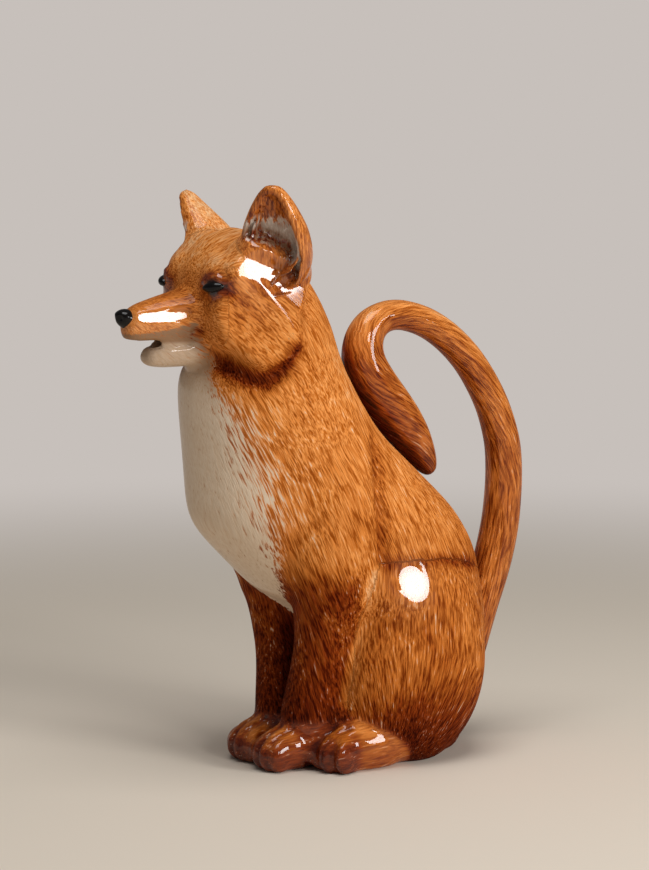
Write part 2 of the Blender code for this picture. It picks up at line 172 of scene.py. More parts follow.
def setUpWorld():
    world = bpy.data.worlds.new("studio")
    world.use_nodes = True
    bpy.context.scene.world = world
    tree = world.node_tree
    tree.nodes.clear()
    rays = tree.nodes.new("ShaderNodeLightPath")
    sky = studio["skyStrength"]
    colour = mixColours(tree, rays.outputs["Is Camera Ray"], (sky, sky, sky), studio["backdrop"])
    light = addNode(tree, "ShaderNodeBackground", Color=colour, Strength=1.0)
    addNode(tree, "ShaderNodeOutputWorld", Surface=light.outputs[0])


def setUpFloor():
    # A pale floor that fades into the backdrop before its edge shows
    sheet = bmesh.new()
    bmesh.ops.create_circle(sheet, cap_ends=True, segments=64, radius=studio["floorRadius"])
    floor = bpy.data.objects.new("floor", bpy.data.meshes.new("floor"))
    sheet.to_mesh(floor.data)
    sheet.free()
    bpy.context.scene.collection.objects.link(floor)
    material, tree = newMaterial("paleFloor")
    place = tree.nodes.new("ShaderNodeTexCoord").outputs["Object"]
    away = addNode(tree, "ShaderNodeVectorMath", {"operation": "LENGTH"}, n0=place).outputs["Value"]
    fade = smoothStep(tree, away, studio["fadeStart"], studio["fadeEnd"])
    matt = addNode(tree, "ShaderNodeBsdfDiffuse", Color=(*studio["floor"], 1))
    glow = addNode(tree, "ShaderNodeEmission", Color=(*studio["backdrop"], 1))
    both = addNode(tree, "ShaderNodeMixShader", n0=fade, n1=matt.outputs[0],
                   n2=glow.outputs[0])
    addNode(tree, "ShaderNodeOutputMaterial", Surface=both.outputs[0])
    floor.data.materials.append(material)


setUpCamera()
setUpLamps()
setUpWorld()
setUpFloor()
bpy.context.scene.view_settings.view_transform = "Standard"
print("jug: camera, lamps and floor are set")

# The fired clay: all the luted pieces as one even skin

clay = {
    "swell": 0.25 * mm,  # closes the slip joints between the CAD solids
    "grain": 1.0 * mm,  # size of a face of the skin
    "rounds": 70,  # of evening
    "sizeRounds": 60,  # of blurring the size that is given back
    "jointBlend": 10,  # rounds that blend the evenness of two pieces
    "insideBlend": 8,  # rounds that blend how closed in a place is
    "evenness": {  # share of the evening that a piece gets
        "torso": 1.0, "head": 0.22, "ear_left": 0.06, "ear_right": 0.06, "tail_handle": 0.5,
        "foreleg_left": 0.30, "foreleg_right": 0.30, "hind_foot_left": 0.10,
        "hind_foot_right": 0.10, "eye_left": 0.12, "eye_right": 0.12,
    },
}
lookout = {"ways": 40, "leastFacing": 0.15, "start": 0.4 * mm, "reach": 0.5}
blurs = {"seam": 2, "fur": 3, "tone": 3, "limb": 4, "polish": 6}  # rounds of blurring
pieceNames = sorted(clay["evenness"])


def mergedCopy(name):
    copy = bmesh.new()
    copy.from_mesh(cadNodes[name].data)
    bmesh.ops.remove_doubles(copy, verts=copy.verts, dist=0.001 * mm)
    copy.normal_update()
    return copy


def lutedSkin():
    # Swells each solid a little, joins them all and remeshes them into one skin
    joined = bmesh.new()
    for name in pieceNames:
        copy = mergedCopy(name)
        for vert in copy.verts:
            vert.co += vert.normal * clay["swell"]
        swollen = bpy.data.meshes.new(name)
        copy.to_mesh(swollen)
        copy.free()
        joined.from_mesh(swollen)
        bpy.data.meshes.remove(swollen)
    holder = bpy.data.objects.new("clay", bpy.data.meshes.new("clay"))
    joined.to_mesh(holder.data)
    joined.free()
    bpy.context.scene.collection.objects.link(holder)
    grain = holder.modifiers.new("grain", "REMESH")
    grain.mode = "VOXEL"
    grain.voxel_size = clay["grain"]
    grain.adaptivity = 0
    graph = bpy.context.evaluated_depsgraph_get()
    skin = bpy.data.meshes.new_from_object(holder.evaluated_get(graph))
    bpy.data.objects.remove(holder)
    return skin


def cadLookup():
    # One tree over all CAD faces, with the node of each face and how closed in it is
    places, faces, owners = [], [], []
    for number, name in enumerate(pieceNames):
        copy = mergedCopy(name)
        start = len(places)
        places += [vert.co.copy() for vert in copy.verts]
        for face in copy.faces:
            faces.append([start + vert.index for vert in face.verts])
            owners.append(number)
        copy.free()
    tree = BVHTree.FromPolygons(places, faces)
    ways = []
    for step in range(lookout["ways"]):  # even spread of directions
        height = 1 - (2 * step + 1) / lookout["ways"]
        turn = step * math.pi * (3 - math.sqrt(5))
        flat = math.sqrt(1 - height * height)
        ways.append(Vector((flat * math.cos(turn), flat * math.sin(turn), height)))
    closed = []
    for face in faces:
        a, b, c = (places[i] for i in face)
        normal = (b - a).cross(c - a).normalized()
        start = (a + b + c) / 3 + normal * lookout["start"]
        openWays = [way for way in ways if way.dot(normal) > lookout["leastFacing"]]
        met = sum(tree.ray_cast(start, way, lookout["reach"])[0] is not None for way in openWays)
        closed.append(met / max(1, len(openWays)))
    return tree, np.array(owners), np.array(closed)


def readAll(items, key, width=3, kind=float):
    values = np.empty(len(items) * width, kind)
    items.foreach_get(key, values)
    return values.reshape(-1, width)


def readPlaces(mesh):
    return readAll(mesh.vertices, "co")


def readNormals(mesh):
    return readAll(mesh.vertices, "normal")


def writePlaces(mesh, places):
    mesh.vertices.foreach_set("co", places.ravel())
    mesh.update()


class Neighbours:
    def __init__(self, mesh):
        self.first, self.second = readAll(mesh.edges, "vertices", 2, int).T
        self.size = len(mesh.vertices)
        self.count = self.added(np.ones(self.size))

    def added(self, values):
        return (np.bincount(self.first, values[self.second], self.size)
                + np.bincount(self.second, values[self.first], self.size))

    def mean(self, values):
        if values.ndim == 1:
            return self.added(values) / self.count
        return np.stack([self.added(column) / self.count for column in values.T], 1)

    def blurred(self, values, rounds):
        for _ in range(rounds):
            values = (values + self.mean(values)) / 2
        return values


def evened(mesh, near, share):
    # Takes the CAD facets out and gives back the size that the evening takes
    before = readPlaces(mesh)
    after = before.copy()
    pull = share[:, None] / 2
    for _ in range(clay["rounds"]):
        after += pull * (near.mean(after) - after)
    writePlaces(mesh, after)
    normals = readNormals(mesh)
    lost = near.blurred(((before - after) * normals).sum(1), clay["sizeRounds"])
    after += normals * lost[:, None]
    after[:, 2] = np.maximum(after[:, 2], 0)
    writePlaces(mesh, after)


skin = lutedSkin()
print("jug: skin of", len(skin.polygons), "faces")
cadTree, faceOwner, faceClosed = cadLookup()
near = Neighbours(skin)
nearest = [cadTree.find_nearest(vert.co)[2] for vert in skin.vertices]
owner = faceOwner[nearest]
closed = near.blurred(faceClosed[nearest], clay["insideBlend"])
evenShare = np.array([clay["evenness"][name] for name in pieceNames])[owner]
evened(skin, near, near.blurred(evenShare, clay["jointBlend"]))
print("jug: skin is even")

# Carving: creases, grooves and lids, each as a line of points in mm on the fox's left side, how
# wide and how deep it is pressed in mm (a ridge has a negative depth)

carving = {
    "thighCrease": (((53, -14, 107), (52, -2.5, 107.5), (51, 9.8, 107.5), (48, 23.6, 107),
                     (42, 40, 104), (35, 50, 101), (22, 58, 97), (0, 62, 95)), 2.8, 1.3),
    "aboveThigh": (((54, -8, 110), (52, 9.8, 111), (48, 23.6, 110), (42, 40, 107)), 8, 1.3),
    "thighTop": (((51, -6, 92), (51, 6, 92), (49, 20, 91), (44, 36, 90)), 8, -0.7),
    "shoulderGroove": (((34, 5, 186), (39, -9, 166), (47.6, -13.6, 145), (50.4, -12.9, 125),
                        (51, -12, 109)), 3.2, 2.2),
    "shoulderEdge": (((38, -19, 164), (46, -24, 145), (49, -24, 125), (49, -23, 108)), 6, -0.7),
    "elbowFold": (((51, -13, 107), (46, -18, 88), (38, -20, 68), (35, -21, 47), (32, -22, 32)),
                  2.6, 1.0),
    "mouthCorner": (((13, -98.5, 226), (14.8, -96, 221.5)), 2.2, 1.5),
    "mouthLine": (((3, -122, 219), (6, -114, 218.4), (8.4, -106, 218.2), (10.4, -100, 219.5),
                   (13.2, -97.6, 223)), 0.9, 1.0),
    "eyeLidTop": (((16.5, -97.5, 250.5), (21, -97, 253.6), (26, -94.5, 254), (30.5, -90.5, 251)),
                  1.6, -0.9),
    "eyeLidLow": (((17.5, -98.5, 245.5), (22, -98, 243.8), (27, -95.5, 244), (31, -91, 246.5)),
                  1.5, -0.6),
    "browHollow": (((14, -98, 258), (20, -96, 260), (27, -92, 260)), 3.2, 0.8),
    "cheekHollow": (((31, -91, 247), (34, -86, 243), (37, -80, 238)), 2.0, 0.6),
    "underCheek": (((16, -87, 209.5), (24.6, -82, 206), (30, -77, 202.5), (35, -70.4, 201.5),
                    (37.5, -62.4, 206)), 3.6, 1.6),
    "neckSeam": (((41, -49, 248), (40, -50, 236), (39, -52, 222)), 2.2, 0.7),
    **{"foretoe" + str(out): (((out, -48, 22), (out, -57, 18.5), (out, -63.5, 13), (out, -65, 7),
                               (out, -62, 1)), 1.2, 1.7) for out in (6.3, 13.4, 20.4)},
    **{"hindtoe" + str(out): (((out + 1, -24, 23), (out, -34, 19.5), (out, -40, 13),
                               (out, -41.5, 6), (out, -39, 1)), 1.2, 1.7)
       for out in (23.5, 30, 36.5)},
}
flats = {  # a line of points, how far round it the clay is pared flat, and the way the flat faces
    "temple": (((33, -79, 255), (36, -67.5, 250.5), (38, -57, 243.5)), 13.5,
               (0.991, -0.013, 0.132)),
    "muzzle": (((7.2, -125, 233.8), (9.8, -114, 233.8), (12.2, -104, 234.2)), 4.6,
               (0.958, -0.193, 0.213)),
    "cheek": (((35.5, -80, 236), (37.5, -70, 226)), 20, (0.965, -0.26, 0.02)),
    "thigh": (((51.2, 4, 99), (51.2, 7, 93)), 12.5, (0.962, -0.064, 0.264)),
}
paring = {
    "core": 0.5,  # share of the reach that ends up quite flat
    "deepest": 16,
    "facing": (0.0, 0.35),
    "belowEar": (-1.5, 0.5),
}
earShape = {
    "base": (33, -64.5, 256),
    "rise": (13, -9, 43),
    "facing": (0.64, -0.69, -0.34),
    "halfWidths": ((-12, 13), (0, 17), (8, 18.3), (16, 17.5), (24, 15.5), (32, 11.6), (40, 8.2),
                   (45, 4)),
    "lowerEdge": ((-17, 18), (-10, 16.7), (-4, 15.2), (4.5, 9.2), (9, 0.6), (12, -6)),
    "frontRim": 1.0,  # mm, left standing along the edge nearest the brow
    "backRim": 4.6,
    "depths": ((-10, 11), (5, 10), (18, 8), (30, 4.5), (44, 1)),
    "rimDepths": ((-10, -1.2), (10, 0), (20, 3), (44, 2)),
    "leastClay": 2.6,
    "leastPush": 0.05,
    "top": 43.5,
    "lowered": 6,  # mm, how much lower the right ear sits
    "openFacing": (-0.1, 0.25),
    "bowlWall": (-0.5, 6),  # mm from the rim, and from the lower edge, over which the bowl falls
    "bowlFloor": (-0.5, 3),
    "bowlEdge": (-0.5, 0.5),
    "softening": 3,
    "tipward": (19, 32),
    "greyRim": (-0.8, 0.8),
    "greyEdge": (-0.8, 0.6),
    "greyDepth": (1, 3),
    "greyFacing": (-0.5, 0.1),
    # the painted shade at the bowl's lower edge is full 1 mm above that edge and gone 9 mm above it
    "bottom": (-9, -1),
    "edgeAhead": (0.55, 0.8),  # the right ear's inner edge faces this far ahead and to the left
    "edgeLeft": (-0.2, 0.1),
    "edgeOut": 30,
    "edgeUp": (-2, 6),
    "edgeGrey": 0.8,
}
insideFrom = 0.86  # share of ways that meet clay, over which a place is inside the jug


def smooth(values, low, high):
    share = np.clip((values - low) / (high - low), 0, 1)
    return share * share * (3 - 2 * share)


def curve(values, table):
    # The second column of a table, read off at values of its first
    first, second = np.array(table, float).T
    return np.interp(values, first, second)


def lineDistance(places, line):
    # Distance in mm from each place to a line of points
    best = np.full(len(places), np.inf)
    line = np.array(line, float)
    for start, end in zip(line[:-1], line[1:]):
        way = end - start
        share = np.clip(((places - start) @ way) / (way @ way), 0, 1)
        best = np.minimum(best, np.linalg.norm(places - start - share[:, None] * way, axis=1))
    return best


def bothSides(places):
    # The places in mm with the right side folded over the left
    folded = places / mm
    folded[:, 0] = np.abs(folded[:, 0])
    return folded


def mirrored(vectors, places):
    # The vectors as they are on the left side and turned over on the right
    turned = np.array(vectors, float) * np.ones((len(places), 3))
    turned[places[:, 0] < 0, 0] *= -1
    return turned


def earFrame(places):
    # Across, up and out of the opening of the ear, in mm from its base; the right ear sits lower
    shape = earShape
    lowered = np.outer(places[:, 0] < 0, (0, 0, shape["lowered"]))
    place = bothSides(places) + lowered - np.array(shape["base"], float)
    up = np.array(shape["rise"], float)
    up /= np.linalg.norm(up)
    out = np.array(shape["facing"], float)
    out -= up * (out @ up)
    out /= np.linalg.norm(out)
    across = np.cross(up, out)
    return place @ across, place @ up, place @ out, out


def earBowl(places, normals):
    # How far inside the rim and above the bowl's lower edge each place lies, and if it faces out
    across, up, _, out = earFrame(places)
    facing = mirrored(normals, places) @ out
    half = curve(up, earShape["halfWidths"])
    margin = np.minimum(across + half - earShape["frontRim"], half - earShape["backRim"] - across)
    margin = np.minimum(margin, earShape["top"] - up)
    above = up - curve(across, earShape["lowerEdge"])
    return margin, above, smooth(facing, *earShape["openFacing"])


def hollowEars(mesh):
    places, normals = readPlaces(mesh), readNormals(mesh)
    across, up, height, out = earFrame(places)
    margin, above, facing = earBowl(places, normals)
    softening, edge = earShape["softening"], earShape["bowlEdge"]
    ears = near.blurred(isPair("ear").astype(float), softening)
    deep = curve(up, earShape["depths"])
    deep *= smooth(margin, *earShape["bowlWall"]) * smooth(above, *earShape["bowlFloor"])
    rim = curve(up, earShape["rimDepths"])
    push = np.clip(height - (rim - deep), 0, None) * ears * facing
    push *= smooth(above, *edge) * (margin > edge[0])
    ways = mirrored(out, places)
    step, far = 0.5 * mm, 50 * mm
    for index in np.flatnonzero(push > earShape["leastPush"]):
        way = Vector(ways[index])
        start = Vector(places[index]) - way * step
        depth = cadTree.ray_cast(start, -way, far)[3] or far
        room = (depth + step) / mm - earShape["leastClay"]
        push[index] = min(push[index], max(0, room))
    push = near.blurred(push, softening)
    writePlaces(mesh, places - ways * (push * mm)[:, None])


def pare(mesh):
    # Flat places, where the glaze mirrors the window
    for name, (line, reach, facing) in flats.items():
        places, normals = readPlaces(mesh), readNormals(mesh)
        folded = bothSides(places)
        face = np.array(facing) / np.linalg.norm(facing)
        points = np.array(line, float)
        middle = points.mean(0)
        drop = (middle - folded) @ face
        laidLine = points + np.outer((middle - points) @ face, face)
        away = lineDistance(folded + np.outer(drop, face), laidLine)
        weight = (1 - smooth(away, paring["core"] * reach, reach)) * (1 - hidden)
        weight *= np.abs(drop) < paring["deepest"]
        weight *= smooth(mirrored(normals, places) @ face, *paring["facing"])
        if name == "temple":
            weight *= smooth(-earBowl(places, normals)[1], *paring["belowEar"])
        push = mirrored(face, places) * (drop * weight * mm)[:, None]
        writePlaces(mesh, places + push)


def carve(mesh):
    places, normals = readPlaces(mesh), readNormals(mesh)
    folded = bothSides(places)
    pressed, raised = np.zeros(len(places)), np.zeros(len(places))
    for line, width, deep in carving.values():
        depth = deep * np.exp(-(lineDistance(folded, line) / width) ** 2)
        pressed, raised = np.maximum(pressed, depth), np.minimum(raised, depth)
    writePlaces(mesh, places - normals * ((pressed + raised) * (1 - hidden) * mm)[:, None])


def isPiece(*names):
    return np.isin(owner, [pieceNames.index(name) for name in names])


def isPair(name):
    return isPiece(name + "_left", name + "_right")


def softly(choice, blur):
    # The chosen places as shares that fall off softly at their edge
    return near.blurred(choice.astype(float), blurs[blur])


hidden = softly((closed > insideFrom) & isPiece("torso", "head"), "seam")
hollowEars(skin)
carve(skin)
pare(skin)
print("jug: creases are carved")

# Fur: which way the brush strokes run, as coordinates with the third one along the stroke

fur = {
    # At a height, how many mm the strokes run back for each mm down
    "lean": ((-20, 0.2), (50, 0.3), (88, 0.42), (115, 0.46), (130, 0.42), (145, 0.38), (160, 0.42),
             (190, 0.45), (205, 0.55), (230, 0.5), (300, 0.5)),
    "levels": (-20, 300.0),
    "cheekLean": 1.12,
    "thighPoint": (0, -28),  # mm, back and high, where the strokes of the thigh run together
    "thighReach": 90,
    "thighShift": 200,
    "thighEdge": ((0, -20), (32, -22), (47, -21), (68, -20), (88, -18), (107, -14)),
    "thighTop": ((-20, 108), (24, 107), (40, 104), (50, 101), (58, 97), (70, 94)),
    "spread": ((130, 1.0), (150, 1.05), (168, 1.2), (190, 1.5), (212, 1.9)),
    "headPoint": (0, -145, 246),  # mm, the strokes of muzzle and crown spread from here
    "headReach": 62,
    "headSides": (-0.6, 1),
    "tailLine": ((53, 24), (67, 38), (76, 59), (85, 85), (92, 110), (95, 137), (93, 161), (88, 176),
                 (80, 190), (71, 203), (58, 215), (45, 223), (33, 227), (19, 227), (12, 223),
                 (7.5, 216), (7, 207), (10, 198), (15, 190), (22, 181), (30, 171), (37, 162),
                 (42, 154), (49, 143)),
    "tailSteps": 400,
    "tailRound": 11,
    "tailTwists": ((0, 0.3), (120, 0), (260, -3), (330, -5.5), (420, -9)),  # mm along, radians
    "pawWay": (0.1, 1, 0.1),
    "pawTop": 24,
    "pawReach": 30,  # mm high, up to where the strokes of the paws hold
    "earShift": 90,
    "earReach": (238, -30),  # mm high and back, from where the strokes of the ears hold
    "sideShift": 170,  # so that the two sides differ
    "snoutBack": -90,
    "crown": (258, -44),
    "ruffLean": 0.35,
    "ruffEdge": (182, 189),
    "cheekBack": (47, 53),
    "leastBlend": 0.001,
    "limbBlend": (0.25, 0.75),
    "snoutBlend": (0.3, 0.7),
}


def bodyFur(p):
    # Even strokes down chest, back and forelegs, and strokes that run together on the thigh
    out, back, height = p.T
    levels = np.arange(*fur["levels"])
    slopes = curve(levels, fur["lean"])
    across = back + np.interp(height, levels, np.cumsum(slopes))
    far, low = fur["thighPoint"]
    reach = np.hypot(back - far, height - low)
    turn = np.arctan2(back - far, height - low)
    onThigh = (back > curve(height, fur["thighEdge"]))
    onThigh &= height < curve(back, fur["thighTop"])
    around = fur["thighShift"] + turn * np.maximum(reach, fur["thighReach"])
    across = np.where(onThigh, around, across)
    along = np.where(onThigh, reach, height)
    spread = curve(height, fur["spread"])
    return np.stack([out * spread, across, along], 1)


def cheekFur(p):
    # Straight strokes that run back and down
    out, back, height = p.T
    lean = fur["cheekLean"]
    length = math.hypot(1, lean)
    return np.stack([out, (back + lean * height) / length, (height - lean * back) / length], 1)


def headFur(p):
    # Strokes that spread from the tip of the nose
    way = p - np.array(fur["headPoint"], float)
    far = np.linalg.norm(way, axis=1)
    way = way / far[:, None]
    spread = 2 * fur["headReach"] / (1 + np.clip(way[:, 1], *fur["headSides"]))
    return np.stack([way[:, 0] * spread, way[:, 2] * spread, far], 1)


def tailFur(p):
    # Strokes that run along the tail and wind round it
    line = np.array(fur["tailLine"], float)
    steps = np.concatenate([[0], np.cumsum(np.linalg.norm(np.diff(line, axis=0), axis=1))])
    fine = np.linspace(0, steps[-1], fur["tailSteps"])
    middle = np.stack([np.interp(fine, steps, line[:, 0]), np.interp(fine, steps, line[:, 1])], 1)
    ahead = np.gradient(middle, axis=0)
    ahead /= np.linalg.norm(ahead, axis=1)[:, None]
    where = np.empty(len(p), int)
    chunk = 10000  # places at a time, to spare memory
    for start in range(0, len(p), chunk):
        part = p[start:start + chunk]
        gap = ((part[:, None, 1:] - middle) ** 2).sum(2)
        where[start:start + chunk] = gap.argmin(1)
    off = p[:, 1:] - middle[where]
    outward = off[:, 0] * ahead[where, 1] - off[:, 1] * ahead[where, 0]
    along = fine[where] + (off * ahead[where]).sum(1)
    turn = np.arctan2(p[:, 0], outward) + curve(along, fur["tailTwists"])
    reach = fur["tailRound"]
    return np.stack([reach * np.cos(turn), reach * np.sin(turn), along], 1)


def turnedFur(p, along):
    # Strokes along one straight way
    ahead = Vector(along).normalized()
    turn = np.array(ahead.rotation_difference(Vector((0, 0, 1))).to_matrix())
    return p @ turn.T


def layFur(mesh):
    p = readPlaces(mesh) / mm
    folded = bothSides(readPlaces(mesh))
    _, y, z = folded.T
    right = p[:, 0] < 0
    paws = isPair("hind_foot") | (isPair("foreleg") & (z < fur["pawTop"]))
    whole = softly(isPair("ear") | isPiece("tail_handle") | paws, "limb")
    # The limb's strokes have to hold beyond the joint, where the blend still uses them
    touched = whole > fur["leastBlend"]
    byPaw = touched & (z < fur["pawReach"])
    byEar = touched & (z > fur["earReach"][0]) & (y < fur["earReach"][1])
    byTail = touched & ~byPaw & ~byEar
    limb = folded.copy()
    limb[byPaw] = turnedFur(folded[byPaw], fur["pawWay"])
    limb[byEar] = turnedFur(folded[byEar], earShape["rise"]) + fur["earShift"]
    limb[right, 0] += fur["sideShift"]
    limb[byTail] = tailFur(p[byTail])
    ahead = (y < fur["snoutBack"]) | (z > fur["crown"][0])
    snout = (isPiece("head") | isPair("eye")) & ahead & (y < fur["crown"][1])
    snoutOnly = snout & (whole < fur["snoutBlend"][0])
    limb[snoutOnly] = headFur(p[snoutOnly])
    bySnout = smooth(softly(snout, "seam"), *fur["snoutBlend"])
    onLimb = np.maximum(smooth(whole, *fur["limbBlend"]), bySnout)
    onHead = smooth(z + fur["ruffLean"] * y, *fur["ruffEdge"]) * smooth(-y, *fur["cheekBack"])
    furWays = {"furBody": bodyFur(p), "furHead": cheekFur(p), "furLimb": limb}
    shares = {"onHead": near.blurred(onHead, blurs["fur"]), "onLimb": onLimb}
    return furWays, shares, np.where(right, -1.0, 1.0)


furWays, furShares, sideOf = layFur(skin)
print("jug: fur directions are laid")

# Paint: where each colour lies, as shares from 0 to 1 at each point of the skin

paint = {
    "bibEdge": ((68, 0), (76, 3), (86, 11), (96, 21), (113, 31), (131, 35.5), (147, 35), (162, 33),
                (175, 30), (187, 26), (196, 21), (206, 14), (212, 12.5), (222, 12)),
    "bibBlend": ((76, 3), (100, 6), (125, 13), (160, 18), (190, 14), (206, 5), (222, 2)),
    "bodyAxis": ((0, 2), (30, 16), (60, 22), (80, 18), (107, -2), (134, -21), (169, -41),
                 (200, -51), (230, -56), (300, -62)),  # height and how far back, in mm
    "lipTop": ((-134, 225.5), (-128, 225.6), (-118, 226.4), (-108, 228), (-99, 230.5)),
    "lipCream": 0.8,
    "eyePlace": ((24.8, -94.5, 248.4), 6.2),  # a point and how far round it
    "mouthCorner": ((14.4, -97.2, 225.5), 3.4),
    "cheekPlace": ((33, -76, 229), 17),
    "ruffShade": ((17, -88, 210), (24.6, -82, 206), (30, -77, 203), (34.4, -70.4, 202),
                  (36.5, -62.4, 207), (38.6, -56, 216)),
    "cornerStreak": ((29, -92, 248), (33, -86, 243.5), (35.4, -82, 239.5), (37.5, -77, 234.5)),
    "flankStrip": ((50, -16, 104), (46, -19, 90), (38, -21, 68), (35, -22, 47), (31, -22, 34)),
    "flankReach": 4.5,
    # share of the painted shadow under the jaw that is also laid on the jaw itself
    "jawShadowShare": 0.5,
    "mouthShade": ((3, -122, 219.5), (6, -114, 218.8), (8.4, -106, 218.4), (10.4, -100, 219.5),
                   (13.2, -97.6, 223)),
    "polished": (((35, -72, 256), 17), ((51, 6, 96), 12), ((25, -94, 249), 7),
                 ((10, -113, 236), 13), ((5, -126, 235), 8)),
}
borders = {  # where each soft border starts and ends, in mm (below and ahead count downward and
    # forward, so they are negated heights and places) or as a share of how far a place faces up
    "bibLow": (68, 76),
    "bibHigh": (222, 225),
    "bibOnLegs": (96, 110),
    "ahead": (4, 14),
    "jawAhead": (90, 99),
    "jawBelow": (-221.3, -219.5),
    "lipAhead": (96.5, 100.5),
    "lipBelow": (-1, 1),
    "inside": (insideFrom, 0.95),
    "stockingBelow": (-112, -90),
    "stockingAhead": (18, 24),
    "haunchBelow": (-50, -18),
    "haunchBehind": (-18, -10),
    # how far a place faces up or down, for the painted light and shade on paws and tail
    "pawUp": (0.3, 0.9),
    "tailUp": (0.1, 0.7),
    "tailDown": (0, 0.7),
    "tailLow": (-120, -70),
    "brushAhead": (-52, -27),
    "brushBelow": (-218, -204),
    "muzzleAhead": (92, 100),
    "muzzleAbove": (228, 236),
    # how closed in a place must be for the painted shade of recesses and creases, which also stands
    # for glaze pooled there
    "hollow": (0.42, 0.8),
    "matUp": (0.35, 0.65),
    "matAhead": (96, 102),
    # heights over which the painted shadow under the jaw darkens the front of the neck, and then
    # the jaw
    "throat": (184, 212),
    "jawShade": (203, 214),
}
tones = {  # 0 is the palest fur and 1 the darkest
    "heights": ((0, 0.80), (30, 0.67), (60, 0.54), (98, 0.54), (108, 0.41), (150, 0.35),
                (190, 0.31), (215, 0.31), (240, 0.36), (252, 0.33), (262, 0.22), (300, 0.22)),
    "stocking": 0.25,
    "lowHaunch": 0.18,
    "paw": -0.17,
    # painted light: the paws paler where they face up
    "pawTop": -0.32,
    "tail": 0.53,
    # painted light and shade: the tail paler where it faces up and darker where it faces down
    "tailTopLight": -0.25,
    "tailUnderShade": 0.12,
    "brush": 0.14,
    "lowTail": 0.07,
    "cheek": 0.13,
    "ears": 0.10,
    "leftEar": 0.12,  # added to the left ear and taken from the right one
    "muzzle": 0.10,
    "mouthCorner": 0.60,
    "flankStrip": -0.34,
    # how dark the painted shade in recesses and creases is, together with the glaze that pools
    # there
    "hollow": 0.45,
    "earTip": 0.26,
    # how dark the painted shade low in the ear's bowl is
    "bowlBottom": 0.35,
}
# Along the carved creases, grooves and toes, under the ruff and in the mouth line this darker
# colour is partly the darker paint in the grooves and partly painted shade
shades = {  # how dark and how wide the colour is that lies along a painted or carved line
    "ruffShade": (0.66, 5.4),
    "cornerStreak": (0.22, 2.4),
    "mouthShade": (0.30, 1.4),
    "eyeLidTop": (0.42, 4.0),
    "eyeLidLow": (0.34, 3.0),
    "thighCrease": (0.34, 4.0),
    "shoulderGroove": (0.26, 4.5),
    "neckSeam": (0.10, 3.0),
    **{name: (0.36, 1.8) for name in carving if "toe" in name},
}
polishes = {"cream": 0.4, "paws": 0.6, "tail": 0.4, "ears": 0.3, "leftEar": 0.2, "places": 1.2,
            "mat": 0.85}
calms = {"paws": 0.55, "places": 0.6, "reachShare": 0.7}


def border(values, name):
    return smooth(values, *borders[name])


def nearPoint(p, point, reach):
    return np.exp(-((p - np.array(point, float)) ** 2).sum(1) / reach ** 2)


def nearLine(p, line, reach):
    return np.exp(-(lineDistance(p, line) / reach) ** 2)


def earPaint(mesh):
    # How far into the bowl of an ear a point lies, how near the ear's tip, and the painted shade
    # low in the bowl
    places, normals = readPlaces(mesh), readNormals(mesh)
    shape = earShape
    margin, above, _ = earBowl(places, normals)
    _, up, height, out = earFrame(places)
    ears = softly(isPair("ear"), "seam")
    below = curve(up, shape["rimDepths"]) - height
    front = smooth(mirrored(normals, places) @ out, *shape["greyFacing"])
    front *= smooth(below, -shape["greyDepth"][1], -shape["greyDepth"][0])
    bowl = smooth(margin, *shape["greyRim"]) * smooth(above, *shape["greyEdge"]) * ears * front
    # The right ear's inner edge is grey too
    edge = smooth(-normals[:, 1], *shape["edgeAhead"]) * smooth(normals[:, 0], *shape["edgeLeft"])
    edge *= (places[:, 0] < -shape["edgeOut"] * mm) * ears * smooth(up, *shape["edgeUp"])
    bowl = np.maximum(bowl, shape["edgeGrey"] * edge)
    return bowl, smooth(up, *shape["tipward"]), smooth(-above, *shape["bottom"]) * bowl, ears


def layCream(p, legs):
    # The bib, the lower jaw and the band along the upper lip
    x, y, z = p.T
    bib = smooth((curve(z, paint["bibEdge"]) - x) / curve(z, paint["bibBlend"]), -1, 1)
    bib *= border(curve(z, paint["bodyAxis"]) - y, "ahead")
    bib *= border(z, "bibLow") * (1 - border(z, "bibHigh"))
    bib *= np.where(legs, border(z, "bibOnLegs"), 1)
    jaw = border(-y, "jawAhead") * border(-z, "jawBelow")
    lip = border(-y, "lipAhead") * border(curve(y, paint["lipTop"]) - z, "lipBelow")
    return np.maximum.reduce([bib, jaw, paint["lipCream"] * lip]), jaw


def layTone(p, up, paws, tail, ears):
    _, y, z = p.T
    tone = curve(z, tones["heights"])
    tone += tones["stocking"] * border(-z, "stockingBelow") * border(-y, "stockingAhead")
    lowHaunch = border(-z, "haunchBelow") * border(y, "haunchBehind")
    tone += tones["lowHaunch"] * lowHaunch * (1 - paws)
    # painted light on the tops of the paws, and painted light and shade on the top and underside of
    # the tail
    tone += paws * (tones["paw"] + tones["pawTop"] * border(up, "pawUp"))
    tailTone = tones["tail"] + tones["tailTopLight"] * border(up, "tailUp")
    tailTone += tones["tailUnderShade"] * border(-up, "tailDown")
    tailTone += tones["brush"] * border(-y, "brushAhead") * border(-z, "brushBelow")
    tailTone += tones["lowTail"] * border(-z, "tailLow")
    tone += tail * (tailTone - tone)
    tone += tones["cheek"] * nearPoint(p, *paint["cheekPlace"])
    tone += ears * (tones["ears"] + tones["leftEar"] * sideOf)
    tone += tones["muzzle"] * border(-y, "muzzleAhead") * border(z, "muzzleAbove")
    return tone


def layShades(p, cream):
    dark = tones["mouthCorner"] * nearPoint(p, *paint["mouthCorner"])
    for name, (strength, reach) in shades.items():
        line = paint[name] if name in paint else carving[name][0]
        shade = strength * nearLine(p, line, reach)
        dark += shade * (1 - cream) if name == "ruffShade" else shade
    return dark


